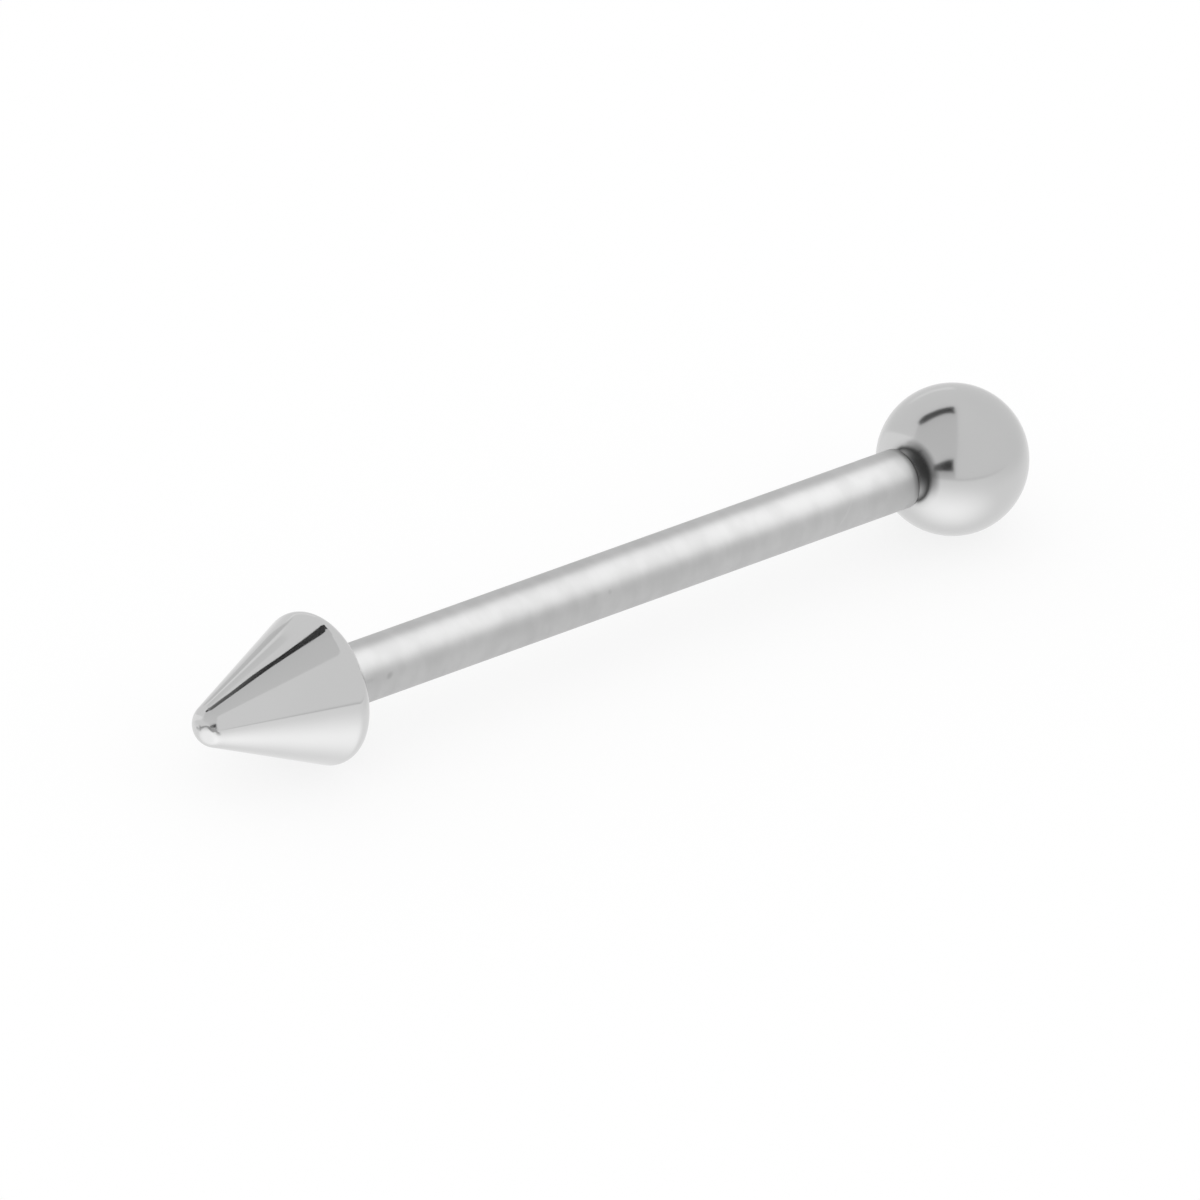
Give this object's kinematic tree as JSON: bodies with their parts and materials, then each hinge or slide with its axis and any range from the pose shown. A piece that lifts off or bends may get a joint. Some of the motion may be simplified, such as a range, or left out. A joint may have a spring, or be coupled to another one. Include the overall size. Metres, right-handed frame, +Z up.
{
  "type": "piercing barbell",
  "caption": "Straight steel bar for a piercing, with a polished ball screwed on one end and a blunt polished cone on the other.",
  "frame": {"origin": "middle of the part's length and width, on the surface that the ball and the cone's rim rest on", "axes": "+X along the bar from the cone to the ball, +Z up from the surface"},
  "size_m": [0.027, 0.004, 0.004],
  "materials": {
    "bar_steel": "surgical steel, ground and lightly polished round the bar, with fine marks round it and hairline scratches",
    "ball_steel": "surgical steel, mirror polished, with faint wipe marks",
    "cone_steel": "surgical steel, mirror polished, with fine turning marks round the cone"
  },
  "bodies": {
    "bar": {"bar": "bar_steel"},
    "ball": {"ball": "ball_steel"},
    "cone": {"cone": "cone_steel"}
  },
  "joints": [
    {"name": "ball_unscrew", "type": "slide", "parent": "bar", "child": "ball", "axis": [1, 0, 0], "range_m": [0, 0.008]},
    {"name": "cone_unscrew", "type": "slide", "parent": "bar", "child": "cone", "axis": [-1, 0, 0], "range_m": [0, 0.008]}
  ]
}
